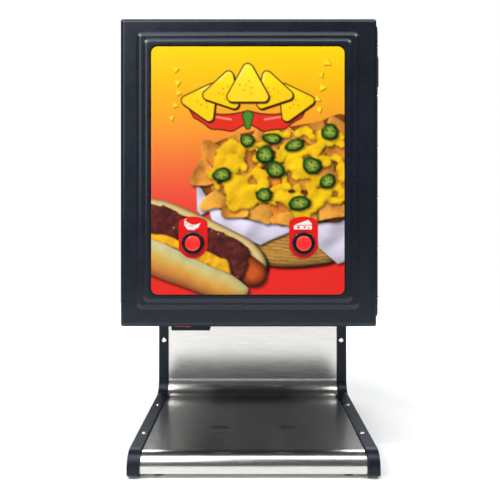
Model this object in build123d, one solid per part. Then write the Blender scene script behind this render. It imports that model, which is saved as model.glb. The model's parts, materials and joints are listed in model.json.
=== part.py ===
from build123d import *

import os
from math import radians, tan

# Countertop dispenser for two warm sauces: a black cabinet with a side-hinged door stands on a
# stainless stand, and two peristaltic pumps feed two spouts under the cabinet.
# Millimetres, +Z up, the front is -Y, the origin is the centre of the footprint on the counter.

# --- overall size ---
FRONT_Y = -203.0
REAR_Y = 203.0
STAND_HALF = 190.5
CABINET_HALF = 190.5
CABINET_BOTTOM = 240.0
CABINET_TOP = 690.0
CABINET_FRONT = -152.0
SHEET = 1.6
FLANGE = 16.0
WRAP_R = 6.0
FIT = 0.3

# --- cabinet fittings ---
BACK_Y = 192.4
DECK_Z = 349.0
PLENUM_Y = 150.0
GLAND_X = 120.0
GLAND_Z = 275.0
GLAND_BORE = 4.0
FAN_Z = 590.0
FAN_HALF = 40.0
FAN_BORE = 38.0
FAN_HUB = 14.0
FAN_Y = (PLENUM_Y + SHEET, PLENUM_Y + SHEET + 25.0)
TRAY_X = (4.0, 176.0)
TRAY_Y = (-116.0, 142.0)
TRAY_LOW = 356.0
TRAY_SLOPE = 12.0
WIRING_X = 199.8
WIRING_Z = (602.0, 660.0)

# --- stand ---
RAIL_WIDTH = 19.0
RAIL_BOTTOM = 3.0
RAIL_TOP = 40.0
COLUMN_Y = 108.0
NOSE_R = 25.0
TOE_R = 8.0
HOLLOW_R = 25.0
BACK_R = 4.0
RAIL_WALL = 6.5
RAIL_SKIN = 3.5
SHEET_DROP = 4.0
STAND_SHEET = 1.5
SHEET_BOTTOM = 8.0
SCREW_X = 179.5
DECK_SCREWS_Y = (-116.0, 26.5)
COLUMN_SCREW_Z = 144.0
REAR_SCREWS_Z = (60.0, 200.0)
FOOT_X = 145.0
FOOT_Y = 175.0
FOOT_R = 13.0
BOLTS_Y = (130.0, 180.0)
COVER_SCREW_X = 160.0
COVER_SCREWS_Z = (35.0, 225.0)

# --- pumps and spouts ---
SPOUT_X = 57.0
SPOUT_Y = -92.0
SPOUT_BORE = 9.0
ROTOR_X = 33.0
ROTOR_Z = 300.0
ROLLER_PITCH = 15.5
ROLLER_R = 6.5
ROLLER_HALF = 11.0
SHOE_R = 25.5
GATE_X = 84.0
GATE_Z = 266.0
PLATE_Y = SPOUT_Y + 22.0
SHAFT_R = 3.0
PIN_R = 2.0
RUNNING = 0.05
GEARBOX_Y = PLATE_Y + SHEET

# --- door ---
DOOR_X = (-204.5, 189.3)
DOOR_Z = (225.3, 698.8)
DOOR_BACK = -156.0
DOOR_RIM = 26.5
DOOR_WALL = 3.0
DOOR_CORNER = 3.5
RIM_ROUND = 7.0
STEP_1 = 3.2
STEP_2 = 2.6
STEP_MARGINS = (24.0, 13.0)
STEP_R = 10.0
STEP_SLOPE = 61.0
STEP_ROUND = 9.0
PANEL_X = -8.7
PANEL_Z = 464.7
PANEL_W = 294.0
PANEL_H = 377.4
PANEL_R = 10.0
PANEL_T = 1.2
POCKET = 1.7
POCKET_GAP = 2.4
HINGE_X = 192.6
HINGE_Y = DOOR_BACK
HINGE_Z = (242.0, 687.0)
KNUCKLE_R = 3.2
HINGE_PIN_R = 1.6
KNUCKLES = 17
LEAF = 1.2

# --- buttons ---
BUTTONS = {"left": -92.0, "right": 76.0}
BUTTON_Z = 354.0
BEZEL_R = 17.3
BARREL_R = 14.0
PLUNGER_R = 11.6
PLUNGER_OUT = 8.5
BUTTON_TRAVEL = 3.0
SWITCH_FRONT = -152.0

# --- switch pod ---
POD_X = (-134.5, -71.0)
POD_Y = (-120.0, -86.0)
POD_BOTTOM = 207.8
ROCKER_Z = 221.0
ROCKER_HALF_Z = 6.6
ROCKERS = {"power_rocker": (-113.8, 12.6, -8.0), "purge_rocker": (-86.0, 9.4, 0.0)}
ROCKER_PIVOT = 5.0

DOOR_W = DOOR_X[1] - DOOR_X[0]
DOOR_H = DOOR_Z[1] - DOOR_Z[0]
DOOR_CX = sum(DOOR_X) / 2
DOOR_CZ = sum(DOOR_Z) / 2
RIM_FRONT = DOOR_BACK - DOOR_RIM
FACE = RIM_FRONT - STEP_1 - STEP_2
PANEL_BACK = FACE + POCKET
PANEL_FACE = PANEL_BACK - PANEL_T
SIDES = {"left": -1, "right": 1}


def block(x, y, z):
    """A box from the two ends it has on each axis, in either order."""
    centre = Pos(sum(x) / 2, sum(y) / 2, sum(z) / 2)
    return centre * Box(abs(x[1] - x[0]), abs(y[1] - y[0]), abs(z[1] - z[0]))


def rod_x(y, z, radius, x):
    return Pos(sum(x) / 2, y, z) * Rot(0, 90, 0) * Cylinder(radius, x[1] - x[0])


def rod_y(x, z, radius, y):
    return Pos(x, sum(y) / 2, z) * Rot(90, 0, 0) * Cylinder(radius, y[1] - y[0])


def rod_z(x, y, radius, z):
    return Pos(x, y, sum(z) / 2) * Cylinder(radius, z[1] - z[0])


def front_plate(cx, cz, width, height, radius, back, depth, taper=0.0):
    """A rounded rectangle in the XZ plane, pulled towards the front from the plane Y = back."""
    plane = Plane.XZ.offset(-back)
    outline = plane * Pos(cx, cz) * RectangleRounded(width, height, radius)
    return extrude(outline, depth, taper=taper)


def group(solids):
    """Several separate solids as one node."""
    return Compound(children=list(solids))


def pan_screw(length, radius=2.0, head=5.2):
    """A cross-recessed truss-head screw, pointing down, with the head's underside at the origin."""
    cap = Pos(0, 0, 1.2) * Cylinder(head, 2.4)
    cap = fillet(cap.faces().sort_by(Axis.Z)[-1].edges(), 1.9)
    cross = Box(1.2, head, 2.6) + Box(head, 1.2, 2.6)
    return cap - Pos(0, 0, 2.4) * cross + Pos(0, 0, -length / 2) * Cylinder(radius, length)


# --- stand ---


def stand_outline(inset, top=CABINET_BOTTOM):
    """The stand's side view in Y and Z as a face, pulled in all round by inset."""
    front, rear = FRONT_Y + inset, REAR_Y - inset
    low, high, column = RAIL_BOTTOM + inset, RAIL_TOP - inset, COLUMN_Y + inset
    back = max(BACK_R - inset, 1.0)
    corners = [(front, low), (rear, low), (rear, top), (column, top), (column, high), (front, high)]
    radii = [max(TOE_R - inset, 1.5), back, 1.0, 1.0, HOLLOW_R + inset, NOSE_R - inset]
    return Plane.YZ * make_face(FilletPolyline(*corners, radius=radii, close=True))


def screw_places(side):
    """Where the screws sit in one rail's edge: (place of the head's seat, outward turn)."""
    x = side * SCREW_X
    places = [Pos(x, y, RAIL_TOP) for y in DECK_SCREWS_Y]
    places.append(Pos(x, COLUMN_Y, COLUMN_SCREW_Z) * Rot(90, 0, 0))
    places += [Pos(x, REAR_Y, z) * Rot(-90, 0, 0) for z in REAR_SCREWS_Z]
    return places


def side_rail(side):
    """A moulded rail: an outer skin with a deep rim all round, open towards the stand."""
    inner, outer = STAND_HALF - RAIL_WIDTH, STAND_HALF
    rail = Pos(inner, 0, 0) * extrude(stand_outline(0.0), RAIL_WIDTH)
    hollow = extrude(stand_outline(RAIL_WALL, CABINET_BOTTOM - 4.0), RAIL_WIDTH - RAIL_SKIN)
    rail -= Pos(inner, 0, 0) * hollow
    rim = rail.edges().filter_by_position(Axis.X, outer - 0.01, outer + 0.01)
    rail = fillet(rim, 1.6)
    if side < 0:
        rail = mirror(rail, about=Plane.YZ)
    for place in screw_places(side):
        rail -= place * Pos(0, 0, -0.9) * Cylinder(6.4, 1.8 + 0.002)
        rail -= place * Pos(0, 0, -5) * Cylinder(2.3, 10)
    for y in BOLTS_Y:
        rail -= rod_z(side * SCREW_X, y, 2.8, (CABINET_BOTTOM - 6, CABINET_BOTTOM + 1))
    return rail


def stand_frame(side):
    """The folded steel channel inside one rail, which the screws and bolts bite into."""
    top = CABINET_BOTTOM - 4.0 - FIT
    outline = stand_outline(RAIL_WALL + FIT, top)
    web = Pos(173.0, 0, 0) * extrude(outline, 2.0)
    inner = stand_outline(RAIL_WALL + FIT + 2.0, top - 2.0)
    rim = extrude(outline, 11.0) - extrude(inner, 11.0)
    frame = web + Pos(174.0, 0, 0) * rim
    if side < 0:
        frame = mirror(frame, about=Plane.YZ)
    for place in screw_places(side):
        frame -= place * Pos(0, 0, -10) * Cylinder(2.15, 12)
    for y in BOLTS_Y:
        frame -= rod_z(side * SCREW_X, y, 2.7, (top - 4, top + 1))
    return frame


def rail_screws():
    seat = Pos(0, 0, -1.8)
    return group(place * seat * pan_screw(9.0) for s in SIDES.values() for place in screw_places(s))


def cabinet_bolts():
    """Hexagon bolts that hold the cabinet down on the stand."""
    head = Pos(0, 0, 1.8) * extrude(RegularPolygon(4.6, 6), 3.6 / 2, both=True)
    bolt = head + Pos(0, 0, -6) * Cylinder(2.5, 12)
    level = CABINET_BOTTOM + SHEET
    return group(Pos(s * SCREW_X, y, level) * bolt for s in SIDES.values() for y in BOLTS_Y)


def stand_sheet():
    """One stainless sheet: front lip, nose, serving deck, cove and column front, with two
    shallow round dimples that mark where a tray goes under each spout."""
    half = STAND_HALF - RAIL_WIDTH - 0.5
    skin = extrude(stand_outline(SHEET_DROP), half, both=True)
    skin -= extrude(stand_outline(SHEET_DROP + STAND_SHEET), half + 1, both=True)
    lip_front = FRONT_Y + SHEET_DROP
    skin &= block((-half, half), (FRONT_Y, COLUMN_Y + 20), (SHEET_BOTTOM, CABINET_BOTTOM - 1))
    skin -= block((-half - 1, half + 1), (lip_front + 14, REAR_Y), (0, 20))
    skin += block((-half, half), (lip_front, lip_front + 14), (SHEET_BOTTOM, SHEET_BOTTOM + 1.5))
    deck = RAIL_TOP - SHEET_DROP
    depth, rim = 1.9, 17.5
    ball = (rim**2 + depth**2) / (2 * depth)
    for s in SIDES.values():
        centre = Pos(s * SPOUT_X, SPOUT_Y, deck + ball - depth)
        under = rod_z(s * SPOUT_X, SPOUT_Y, rim + 2, (deck - 4, deck - STAND_SHEET / 2))
        skin += (centre * Sphere(ball + STAND_SHEET)) & under
        skin -= centre * Sphere(ball)
    return skin


def base_pan():
    """The closed underside: a flat tray with turned-up sides that carries the feet."""
    half = STAND_HALF - RAIL_WIDTH - 0.8
    y = (FRONT_Y + 22, REAR_Y - 8)
    tray = block((-half, half), y, (6.0, 20.0))
    tray -= block((-half + 1.5, half - 1.5), (y[0] + 1.5, y[1] - 1.5), (7.5, 21.0))
    for s in SIDES.values():
        for t in SIDES.values():
            tray -= rod_z(s * FOOT_X, t * FOOT_Y, 3.1, (5, 9))
    return tray


def rubber_feet():
    """Push-in rubber feet: a tapered pad, and a barbed stem through the pan."""
    pad = Pos(0, 0, 3.0) * Cone(FOOT_R - 1.5, FOOT_R, 6.0)
    pad = fillet(pad.faces().sort_by(Axis.Z)[0].edges(), 1.0)
    foot = pad + Pos(0, 0, 8.0) * Cylinder(3.0, 5.0) + Pos(0, 0, 9.4) * Cone(4.4, 2.6, 3.6)
    return group(
        Pos(s * FOOT_X, t * FOOT_Y, 0) * foot for s in SIDES.values() for t in SIDES.values()
    )


def column_back():
    """The cover that closes the column and the base at the rear, with two rows of vents."""
    half = STAND_HALF - RAIL_WIDTH - 0.5
    cover = block((-half, half), (REAR_Y - 3.5, REAR_Y - 2.0), (22.0, CABINET_BOTTOM - 0.5))
    for low in (60.0, 110.0):
        for i in range(-6, 7):
            cover -= block((i * 18 - 2.5, i * 18 + 2.5), (REAR_Y - 9, REAR_Y), (low, low + 30))
    for s in SIDES.values():
        for z in COVER_SCREWS_Z:
            cover -= rod_y(s * COVER_SCREW_X, z, 2.3, (REAR_Y - 9, REAR_Y))
    return cover


# --- cabinet ---


def cabinet_shell():
    """A folded wrap of two sides and the top, with a turned-in flange all round the front
    opening and down both rear edges. The floor is a piece of its own."""
    low = CABINET_BOTTOM - 20
    cz, height = (CABINET_TOP + low) / 2, CABINET_TOP - low
    inside = CABINET_HALF - FLANGE

    def slab(inset, y):
        width, tall = 2 * (CABINET_HALF - inset), height - 2 * inset
        return front_plate(0, cz, width, tall, WRAP_R - inset, y[1], y[1] - y[0])

    wrap = slab(0, (CABINET_FRONT, REAR_Y)) - slab(SHEET, (CABINET_FRONT, REAR_Y))
    front = slab(0, (CABINET_FRONT, CABINET_FRONT + SHEET))
    opening = (CABINET_BOTTOM + FLANGE, CABINET_TOP - FLANGE)
    wrap += front - block((-inside, inside), (CABINET_FRONT - 1, CABINET_FRONT + 3), opening)
    rear_y = BACK_Y - SHEET - 0.2
    rear = slab(0, (rear_y, rear_y + SHEET))
    wrap += rear - block((-inside, inside), (rear_y - 1, rear_y + 3), (low - 1, CABINET_TOP - FLANGE))
    outside = CABINET_HALF + 1
    wrap -= block((-outside, outside), (CABINET_FRONT - 1, REAR_Y + 1), (low - 1, CABINET_BOTTOM))
    half = CABINET_HALF - SHEET
    wrap -= block((-half, half), (rear_y - 1, REAR_Y), (low, CABINET_BOTTOM + SHEET + FIT))
    for z in hinge_screw_heights()[:-1]:
        wrap -= rod_x(HINGE_Y + 18, z, 1.8, (CABINET_HALF - 4, CABINET_HALF + 2))
    for x, z in back_screw_places():
        wrap -= rod_y(x, z, 2.15, (BACK_Y - 6, BACK_Y))
    return wrap


def cabinet_floor():
    """The flat floor behind the front flange, with holes for the spout guides and the bolts."""
    half = CABINET_HALF - SHEET - FIT
    z = (CABINET_BOTTOM, CABINET_BOTTOM + SHEET)
    floor = block((-half, half), (CABINET_FRONT + SHEET, REAR_Y), z)
    for s in SIDES.values():
        floor -= rod_z(s * SPOUT_X, SPOUT_Y, 13.3, (z[0] - 1, z[1] + 1))
        for y in BOLTS_Y:
            floor -= rod_z(s * SCREW_X, y, 2.8, (z[0] - 1, z[1] + 1))
    return floor


def back_screw_places():
    return [(s * 181.0, z) for s in SIDES.values() for z in (300.0, 470.0, 640.0)] + [(0.0, 681.0)]


def cabinet_back():
    """The rear panel, set in from the edge, with louvre slots and a hole for the cord gland."""
    half = CABINET_HALF - SHEET - FIT
    z = (CABINET_BOTTOM + SHEET + FIT, CABINET_TOP - SHEET - FIT)
    panel = front_plate(0, sum(z) / 2, 2 * half, z[1] - z[0], 4.5, BACK_Y + SHEET, SHEET)
    for row in range(8):
        for s in SIDES.values():
            low = 560.0 + 11 * row
            panel -= block((s * 70 - 45, s * 70 + 45), (BACK_Y - 1, BACK_Y + 3), (low, low + 4.0))
    panel -= rod_y(GLAND_X, GLAND_Z, 7.2, (BACK_Y - 1, BACK_Y + 3))
    for x, sz in back_screw_places():
        panel -= rod_y(x, sz, 2.3, (BACK_Y - 1, BACK_Y + 3))
    return panel


def cord_gland():
    """The strain-relief bush for the supply cord: a flange, a short nose and a bore."""
    seat = BACK_Y + SHEET
    gland = rod_y(GLAND_X, GLAND_Z, 11.0, (seat, seat + 2.5))
    gland += rod_y(GLAND_X, GLAND_Z, 7.0, (seat - 8, seat))
    gland += Pos(GLAND_X, seat + 5.5, GLAND_Z) * Rot(-90, 0, 0) * Cone(8.5, 6.5, 6.0)
    return gland - rod_y(GLAND_X, GLAND_Z, GLAND_BORE, (seat - 9, seat + 10))


def panel_screws():
    """Screws of the cabinet's back panel and of the column's cover."""
    panel_screw = Rot(-90, 0, 0) * pan_screw(7.0, head=4.2)
    cover_screw = Rot(-90, 0, 0) * pan_screw(6.0, head=3.9)
    screws = [Pos(x, BACK_Y + SHEET, z) * panel_screw for x, z in back_screw_places()]
    for s in SIDES.values():
        screws += [Pos(s * COVER_SCREW_X, REAR_Y - 2.0, z) * cover_screw for z in COVER_SCREWS_Z]
    return group(screws)


def wiring_cover():
    """A low black cover over the place where the button leads cross to the door."""
    z = WIRING_Z
    x = (CABINET_HALF + LEAF + 0.1, WIRING_X)
    y = (HINGE_Y + 10, HINGE_Y + 42)
    cover = block(x, y, z)
    slope = [(x[1] + 1, z[0] + 38), (x[1] + 1, z[1] + 1), (x[1] - 4, z[1] + 1)]
    wedge = extrude(Plane.XZ * make_face(Polyline(*slope, close=True)), -(y[1] - y[0] + 2))
    cover -= Pos(0, y[0] - 1, 0) * wedge
    outer = cover.edges().filter_by_position(Axis.X, x[1] - 6, x[1] + 0.1).filter_by(Axis.Z)
    cover = fillet(outer, 2.0)
    inside = block((x[0] - 1, x[1] - 2), (y[0] + 2, y[1] - 2), (z[0] + 2, z[1] - 12))
    return cover - inside


def pump_deck():
    """One folded sheet: the upright plate that carries the pumps, and the deck behind it."""
    half = CABINET_HALF - SHEET - 0.6
    low = CABINET_BOTTOM + SHEET
    deck = block((-half, half), (PLATE_Y, PLATE_Y + SHEET), (low, DECK_Z + SHEET))
    deck += block((-half, half), (PLATE_Y, PLENUM_Y), (DECK_Z, DECK_Z + SHEET))
    for s in SIDES.values():
        deck -= rod_y(s * ROTOR_X, ROTOR_Z, 5.5, (PLATE_Y - 1, PLATE_Y + 3))
    return deck


def plenum_panel():
    """The perforated inner rear wall; the fan blows warm air through it."""
    half = CABINET_HALF - SHEET - 0.6
    panel = block((-half, half), (PLENUM_Y, PLENUM_Y + SHEET), (DECK_Z, CABINET_TOP - SHEET - 0.3))
    panel = fillet(panel.edges().filter_by(Axis.Y).group_by(Axis.Z)[-1], 4.5)
    panel -= rod_y(0, FAN_Z, FAN_BORE, (PLENUM_Y - 1, PLENUM_Y + 3))
    for s in SIDES.values():
        for i in range(6):
            for j in range(3):
                panel -= rod_y(s * (70 + 18 * i), 452 + 18 * j, 4.5, (PLENUM_Y - 1, PLENUM_Y + 3))
    return panel


def fan_frame():
    y = FAN_Y
    frame = block((-FAN_HALF, FAN_HALF), y, (FAN_Z - FAN_HALF, FAN_Z + FAN_HALF))
    frame -= rod_y(0, FAN_Z, FAN_BORE, (y[0] - 1, y[1] - 3))
    frame -= rod_y(0, FAN_Z, FAN_BORE, (y[1] - 4, y[1] + 1)) - spokes(y)
    frame -= rod_y(0, FAN_Z, 1.55, (y[1] - 4, y[1] + 1))
    return frame


def spokes(y):
    """The motor seat and its four struts at the back of the fan."""
    seat = rod_y(0, FAN_Z, 15.0, (y[1] - 3, y[1]))
    for k in range(4):
        strut = Pos(27, (y[1] - 3 + y[1]) / 2, 0) * Box(26, 3, 4)
        seat += Pos(0, 0, FAN_Z) * Rot(0, 45 + 90 * k, 0) * strut
    return seat


def fan_rotor():
    """Hub, axle and seven pitched blades."""
    y = (FAN_Y[0] + 2, FAN_Y[1] - 3.4)
    rotor = rod_y(0, FAN_Z, FAN_HUB, y) + rod_y(0, FAN_Z, 1.5, (y[1], FAN_Y[1] - 0.2))
    blade = Pos(24.5, sum(y) / 2, 0) * Rot(38, 0, 0) * Box(24, 22, 1.6)
    for k in range(7):
        rotor += Pos(0, 0, FAN_Z) * Rot(0, 360 / 7 * k, 0) * blade
    return rotor


def fan_guard():
    """A wire guard over the fan's opening: three rings on four spokes."""
    y = PLENUM_Y - 3.2
    rings = [Pos(0, y, FAN_Z) * Rot(90, 0, 0) * Torus(r, 1.1) for r in (FAN_HUB, 25.0, 36.0)]
    guard = rings[0] + rings[1] + rings[2]
    for k in range(4):
        turn = Pos(0, y, FAN_Z) * Rot(0, 45 + 90 * k, 0)
        guard += turn * Pos(28.0, 0, 0) * Rot(0, 90, 0) * Cylinder(1.1, 30)
        guard += turn * Pos(43.0, 1.05, 0) * Rot(90, 0, 0) * Cylinder(3.4, 4.2)
    return guard


def heater_element():
    """A finned heater: a hairpin tube through a stack of square fins."""
    y, z = PLENUM_Y + 22, (395.0, 425.0)
    rods = rod_x(y, z[0], 4.0, (-130, 130)) + rod_x(y, z[1], 4.0, (-130, 130))
    bend = Pos(130, y, sum(z) / 2) * Rot(90, 0, 0) * Torus(15, 4)
    rods += bend & block((130, 155), (y - 5, y + 5), (z[0] - 5, z[1] + 5))
    for i in range(-9, 10):
        rods += block((i * 13 - 0.6, i * 13 + 0.6), (y - 11, y + 11), (z[0] - 13, z[1] + 13))
    return rods


def center_divider():
    half = 0.8
    wall = block((-half, half), (-112, PLENUM_Y - 6.5), (DECK_Z + SHEET, 520))
    wall += block((-half, 14), (-60, PLENUM_Y - 6.5), (DECK_Z + SHEET, DECK_Z + 2 * SHEET))
    corner = wall.edges().filter_by(Axis.X).sort_by(Axis.Z)[-1:]
    return fillet(corner, 0.5)


def bag_tray(side):
    """A sloping tray for one sauce bag: floor, low side walls, and a notched front lip."""
    rise = (TRAY_Y[1] - TRAY_Y[0]) * tan(radians(TRAY_SLOPE))
    lip, wall = TRAY_LOW + 70, TRAY_LOW + 136

    def wedge(inset, lip_up):
        front, rear = TRAY_Y[0] + inset, TRAY_Y[1] - inset
        low = TRAY_LOW + inset
        line = [(front, low), (rear, low + rise), (rear, wall), (front, lip + lip_up)]
        side = Plane.YZ * make_face(Polyline(*line, close=True))
        return Pos(TRAY_X[0] + inset, 0, 0) * extrude(side, TRAY_X[1] - TRAY_X[0] - 2 * inset)

    tray = wedge(0, 0) - wedge(1.5, 21)
    notch_y = (TRAY_Y[0] - 5, TRAY_Y[0] + 34)
    tray -= block((SPOUT_X - 16, SPOUT_X + 16), notch_y, (TRAY_LOW - 5, wall))
    return tray if side > 0 else mirror(tray, about=Plane.YZ)


def tray_rails():
    """Angle strips on the cabinet's walls and on the divider, which carry the trays."""
    strips = []
    run = 200.0
    for s in SIDES.values():
        for wall, inward in ((188.3, -1), (0.9, 1)):
            ledge = block((wall, wall + 10.0 * inward), (-run / 2, run / 2), (-1.5, 0))
            web = block((wall, wall + 1.5 * inward), (-run / 2, run / 2), (-12, 0))
            angle = ledge + web
            angle = Pos(0, 14, TRAY_LOW + 27.2) * Rot(TRAY_SLOPE, 0, 0) * angle
            strips.append(angle if s > 0 else mirror(angle, about=Plane.YZ))
    return group(strips)


def nozzle_guides():
    """White funnels in the floor that lead each tube's end down to the serving space."""
    low = CABINET_BOTTOM + SHEET
    guide = rod_z(0, 0, 22.0, (low, low + 3)) + rod_z(0, 0, 13.0, (222.0, low))
    guide = fillet(guide.faces().sort_by(Axis.Z)[0].edges(), 1.5)
    guide -= rod_z(0, 0, SPOUT_BORE, (220, 250))
    guide -= Pos(0, 0, low + 1.6) * Cone(SPOUT_BORE, SPOUT_BORE + 3.0, 3.0)
    return group(Pos(s * SPOUT_X, SPOUT_Y, 0) * guide for s in SIDES.values())


# --- pumps ---


def pump_body(side):
    """The pump's moulded base: shaft bush, two tube guides and the gate's pivot pin."""
    y = (PLATE_Y - 4.0, PLATE_Y)
    body = block((6.0, 92.0), y, (256.0, 345.0))
    body = fillet(body.edges().filter_by(Axis.Y), 5.0)
    body += rod_y(ROTOR_X, ROTOR_Z, 5.2, (PLATE_Y - 1, PLATE_Y + SHEET))
    body -= rod_y(ROTOR_X, ROTOR_Z, SHAFT_R + RUNNING, (PLATE_Y - 9, PLATE_Y + 5))
    for z in ((256.0, 267.0), (332.0, 345.0)):
        body += block((SPOUT_X - 11, SPOUT_X + 11), (SPOUT_Y - 11, y[0]), z)
        body -= rod_z(SPOUT_X, SPOUT_Y, 6.5, (z[0] - 1, z[1] + 1))
        body -= block((SPOUT_X - 5, SPOUT_X + 5), (SPOUT_Y - 12, SPOUT_Y), (z[0] - 1, z[1] + 1))
    body += rod_y(GATE_X, GATE_Z, SHAFT_R, (SPOUT_Y - 14, y[0]))
    return body if side > 0 else mirror(body, about=Plane.YZ)


def pump_rotor(side):
    """Two discs on a hub, two roller pins, and the drive shaft."""
    front, rear = SPOUT_Y - ROLLER_HALF - 0.4, SPOUT_Y + ROLLER_HALF + 0.4
    rotor = rod_y(0, 0, 18.0, (front - 3, front)) + rod_y(0, 0, 18.0, (rear, rear + 2.6))
    rotor += rod_y(0, 0, 6.0, (front, rear))
    rotor += rod_y(0, 0, SHAFT_R, (rear, GEARBOX_Y + 14))
    rotor += rod_y(0, 0, 7.0, (front - 6, front - 3))
    for t in SIDES.values():
        rotor += rod_y(0, t * ROLLER_PITCH, PIN_R, (front, rear))
        rotor -= Pos(t * 12.0, 0, 0) * rod_y(0, 0, 3.4, (front - 4, front + 1))
    return Pos(side * ROTOR_X, 0, ROTOR_Z) * rotor


def pump_roller(side, t):
    """One roller, free on its pin."""
    y = (SPOUT_Y - ROLLER_HALF, SPOUT_Y + ROLLER_HALF)
    roller = rod_y(0, 0, ROLLER_R, y)
    roller = fillet(roller.edges().filter_by(GeomType.CIRCLE), 0.8)
    roller -= rod_y(0, 0, PIN_R + RUNNING, (y[0] - 1, y[1] + 1))
    return Pos(side * ROTOR_X, 0, ROTOR_Z + t * ROLLER_PITCH) * roller


def pump_gate(side):
    """The hinged shoe that presses the tube on the rollers, with a finger knob."""
    y = (SPOUT_Y - ROLLER_HALF, SPOUT_Y + ROLLER_HALF)
    gate = block((50.0, 80.0), y, (273.5, 322.0))
    gate -= rod_y(ROTOR_X, ROTOR_Z, SHOE_R, (y[0] - 1, y[1] + 1))
    gate += rod_y(GATE_X, GATE_Z, 7.0, y) + block((72.0, 84.0), y, (266.0, 280.0))
    gate -= rod_y(GATE_X, GATE_Z, SHAFT_R + RUNNING, (y[0] - 1, y[1] + 1))
    gate += rod_x(SPOUT_Y, 312.0, 3.5, (80.0, 90.0)) + rod_x(SPOUT_Y, 312.0, 8.0, (90.0, 98.0))
    outer = gate.edges().filter_by(Axis.Y).filter_by_position(Axis.X, 79.9, 80.1).sort_by(Axis.Z)[-1:]
    gate = fillet(outer, 4.0)
    return gate if side > 0 else mirror(gate, about=Plane.YZ)


def gearmotor(side):
    """Gearbox and motor can behind the pump plate; the rotor's shaft plugs into it."""
    y = (GEARBOX_Y, GEARBOX_Y + 34)
    motor = block((-24, 24), y, (-24, 24))
    motor = fillet(motor.edges().filter_by(Axis.Y), 5.0)
    motor += rod_y(0, 0, 18.5, (y[1], y[1] + 58)) + rod_y(0, 0, 7.0, (y[1] + 58, y[1] + 61))
    motor -= rod_y(0, 0, SHAFT_R + RUNNING, (y[0] - 1, y[0] + 14.5))
    return Pos(side * ROTOR_X, 0, ROTOR_Z) * motor


def power_supply():
    """A mains power supply in a slotted case."""
    x, y, z = (-172, -82), (20, 140), (CABINET_BOTTOM + SHEET, CABINET_BOTTOM + 40)
    case = block(x, y, z)
    for i in range(9):
        slot = y[0] + 12 + 11 * i
        case -= block((x[0] + 14, x[1] - 14), (slot, slot + 4), (z[1] - 3, z[1] + 1))
    return case


def control_board():
    """The portion-control board on four posts, with its relays and connectors."""
    x, y, z = (70, 172), (20, 140), CABINET_BOTTOM + 14
    board = block(x, y, (z, z + 1.6))
    for px in (x[0] + 5, x[1] - 5):
        for py in (y[0] + 5, y[1] - 5):
            board += rod_z(px, py, 3.0, (CABINET_BOTTOM + SHEET, z))
    for i in range(3):
        relay, plug = x[0] + 14 + 26 * i, x[0] + 12 + 28 * i
        board += block((relay, relay + 19), (y[0] + 14, y[0] + 29), (z + 1.6, z + 17))
        board += block((plug, plug + 22), (y[1] - 18, y[1] - 8), (z + 1.6, z + 12))
    return board


# --- switch pod ---


def rocker_window(cx, half):
    x = (cx - half - 1.3, cx + half + 1.3)
    return block(x, (POD_Y[0] - 2, POD_Y[0] + 5), (ROCKER_Z - 7.3, ROCKER_Z + 7.3))


def switch_pod():
    """A black box under the floor, beside the left spout, for the two rocker switches."""
    pod = block(POD_X, POD_Y, (POD_BOTTOM, CABINET_BOTTOM))
    pod = fillet(pod.edges().filter_by(Axis.Z) + pod.faces().sort_by(Axis.Z)[0].edges(), 1.5)
    inside_x, inside_y = (POD_X[0] + 2, POD_X[1] - 2), (POD_Y[0] + 2, POD_Y[1] - 2)
    pod -= block(inside_x, inside_y, (POD_BOTTOM + 2, CABINET_BOTTOM + 1))
    for cx, half, _ in ROCKERS.values():
        pod -= rocker_window(cx, half)
    return pod


def rocker(name):
    """A rocker key seen from above: a shallow V across the front, on a pivot boss."""
    cx, half, tilt = ROCKERS[name]
    pivot = ROCKER_PIVOT
    crest, valley = -pivot - 2.2, -pivot - 0.6
    line = [(-half, crest), (0, valley), (half, crest), (half - 1.1, 0), (-half + 1.1, 0)]
    key = extrude(make_face(Polyline(*line, close=True)), ROCKER_HALF_Z, both=True)
    key = fillet(key.edges().filter_by(Axis.Z).sort_by(Axis.Y)[:2], 0.8)
    key += Cylinder(3.0, 2 * ROCKER_HALF_Z)
    return Pos(cx, POD_Y[0] + pivot, ROCKER_Z) * Rot(0, 0, tilt) * key


# --- door ---


def panel_plate(margin, radius, back, depth):
    """A plate in front of the plane Y = back, larger than the front panel by margin all round."""
    return front_plate(PANEL_X, PANEL_Z, PANEL_W + 2 * margin, PANEL_H + 2 * margin, radius, back, depth)


def raised_step(margin, foot, rise):
    """A step round the panel: it slopes up from its foot and rounds over at its top."""
    width, height = PANEL_W + 2 * margin, PANEL_H + 2 * margin
    step = front_plate(PANEL_X, PANEL_Z, width, height, STEP_R, foot, rise, taper=STEP_SLOPE)
    return fillet(step.faces().sort_by(Axis.Y)[0].edges(), STEP_ROUND)


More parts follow.
